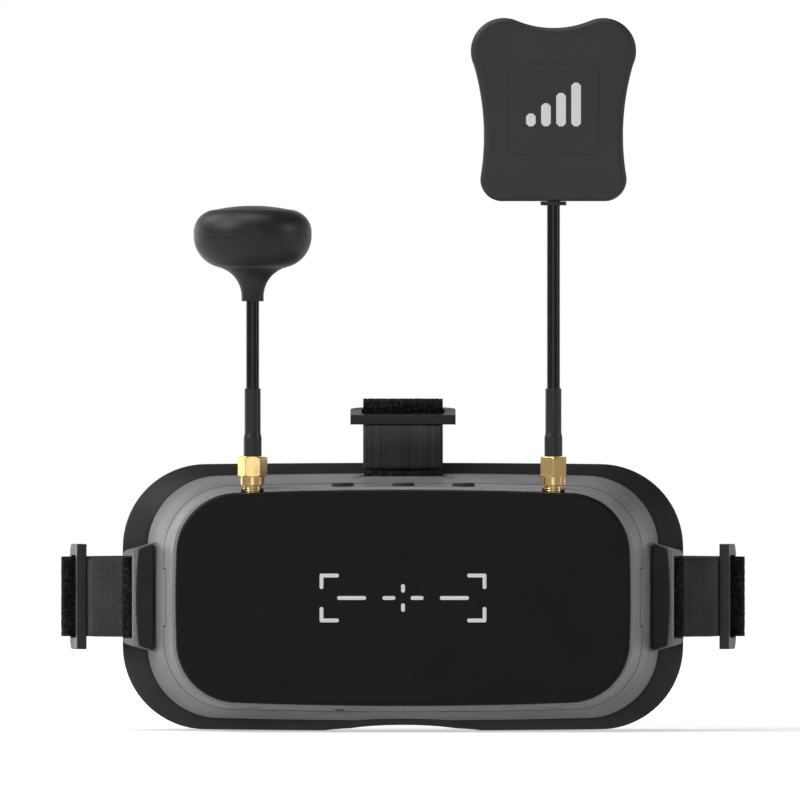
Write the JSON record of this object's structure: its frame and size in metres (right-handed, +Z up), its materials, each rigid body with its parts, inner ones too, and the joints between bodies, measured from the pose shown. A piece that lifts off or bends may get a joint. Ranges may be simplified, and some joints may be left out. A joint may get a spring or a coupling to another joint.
{
  "type": "fpv goggles",
  "caption": "Box-type video goggles for flying model drones, with a curved face cushion, elastic head harness, a domed antenna and a flat patch antenna on screw-on stems.",
  "frame": {"origin": "middle of the face opening, on the cushion's contact surface, at the housing's mid-height", "axes": "+Z up; +Y towards the wearer's face and head, so the front panel looks along -Y; +X to the right as seen from the front"},
  "size_m": [0.2146, 0.2671, 0.2227],
  "materials": {
    "grey_plastic": "fine satin texture",
    "black_gloss": "satin gloss",
    "black_plastic": "matte, fine texture",
    "soft_black": "soft matte",
    "foam": "brushed fabric over foam",
    "webbing": "woven elastic webbing",
    "lens_clear": "clear, fine grooves",
    "display_glass": "glossy",
    "sheet_metal": "brushed",
    "steel": "machined",
    "circuit_board": "solder mask",
    "chip_black": "moulded",
    "gold": "polished gold plating",
    "copper": "bare copper",
    "battery_wrap": "foil pouch"
  },
  "bodies": {
    "goggles": {"av_socket": "black_plastic", "battery_pouches": "battery_wrap", "bracket_bar_left": "black_plastic", "bracket_bar_right": "black_plastic", "button_board": "circuit_board", "dc_socket": "black_plastic", "display_backlight": "sheet_metal", "display_panel": "display_glass", "dome_switches": "chip_black", "face_cushion": "foam", "face_flange": "soft_black", "fresnel_lens": "lens_clear", "front_housing": "grey_plastic", "front_panel": "black_gloss", "housing_screws": "steel", "jack_left": "gold", "jack_right": "gold", "lens_frame": "black_plastic", "lens_screws": "steel", "light_baffle": "black_plastic", "main_board": "circuit_board", "main_board_parts": "chip_black", "power_switch": "sheet_metal", "rear_housing": "grey_plastic", "rear_pad": "foam", "receiver_board_left": "circuit_board", "receiver_board_right": "circuit_board", "receiver_shield_left": "sheet_metal", "receiver_shield_right": "sheet_metal", "seam_clips": "black_plastic", "speaker": "black_plastic", "strap_pin_left": "steel", "strap_pin_right": "steel", "strap_pin_top": "steel", "strap_side_left": "webbing", "strap_side_right": "webbing", "strap_top": "webbing", "usb_socket": "sheet_metal"},
    "button_left": {"button_left": "black_plastic"},
    "button_centre": {"button_centre": "black_plastic"},
    "button_right": {"button_right": "black_plastic"},
    "switch_knob": {"switch_knob": "black_plastic"},
    "adjuster_left": {"adjuster_left": "black_plastic"},
    "adjuster_right": {"adjuster_right": "black_plastic"},
    "adjuster_top": {"adjuster_top": "black_plastic"},
    "antenna_left": {"ferrule_left": "gold", "boot_left": "soft_black", "stem_left": "soft_black", "mushroom_base": "black_plastic", "mushroom_cap": "black_plastic", "mushroom_clover": "copper"},
    "antenna_right": {"ferrule_right": "gold", "boot_right": "soft_black", "stem_right": "soft_black", "patch_front": "black_plastic", "patch_back": "black_plastic", "patch_collar": "black_plastic", "patch_board": "circuit_board"},
    "nut_left": {"coupling_nut_left": "gold"},
    "nut_right": {"coupling_nut_right": "gold"}
  },
  "joints": [
    {"name": "button_left_press", "type": "slide", "parent": "goggles", "child": "button_left", "axis": [0, 0, -1], "range_m": [0, 0.0006], "stiffness_N_per_m": 400, "springref_m": -0.0004},
    {"name": "button_centre_press", "type": "slide", "parent": "goggles", "child": "button_centre", "axis": [0, 0, -1], "range_m": [0, 0.0006], "stiffness_N_per_m": 400, "springref_m": -0.0004},
    {"name": "button_right_press", "type": "slide", "parent": "goggles", "child": "button_right", "axis": [0, 0, -1], "range_m": [0, 0.0006], "stiffness_N_per_m": 400, "springref_m": -0.0004},
    {"name": "power_switch_slide", "type": "slide", "parent": "goggles", "child": "switch_knob", "axis": [1, 0, 0], "range_m": [0, 0.002]},
    {"name": "adjuster_left_slide", "type": "slide", "parent": "goggles", "child": "adjuster_left", "axis": [-0.1219, 0.9925, 0], "range_m": [-0.004, 0.004]},
    {"name": "adjuster_right_slide", "type": "slide", "parent": "goggles", "child": "adjuster_right", "axis": [0.1219, 0.9925, 0], "range_m": [-0.004, 0.004]},
    {"name": "adjuster_top_slide", "type": "slide", "parent": "goggles", "child": "adjuster_top", "axis": [0, 0.9925, 0.1219], "range_m": [-0.004, 0.004]},
    {"name": "antenna_left_swivel", "type": "hinge", "parent": "goggles", "child": "antenna_left", "pos_m": [-0.0469, -0.0845, 0.042], "axis": [0, 0, 1], "continuous": true},
    {"name": "coupling_nut_left_spin", "type": "hinge", "parent": "antenna_left", "child": "nut_left", "pos_m": [-0.0469, -0.0845, 0.04], "axis": [0, 0, 1], "continuous": true},
    {"name": "antenna_right_swivel", "type": "hinge", "parent": "goggles", "child": "antenna_right", "pos_m": [0.0469, -0.0845, 0.042], "axis": [0, 0, 1], "continuous": true},
    {"name": "coupling_nut_right_spin", "type": "hinge", "parent": "antenna_right", "child": "nut_right", "pos_m": [0.0469, -0.0845, 0.04], "axis": [0, 0, 1], "continuous": true}
  ]
}
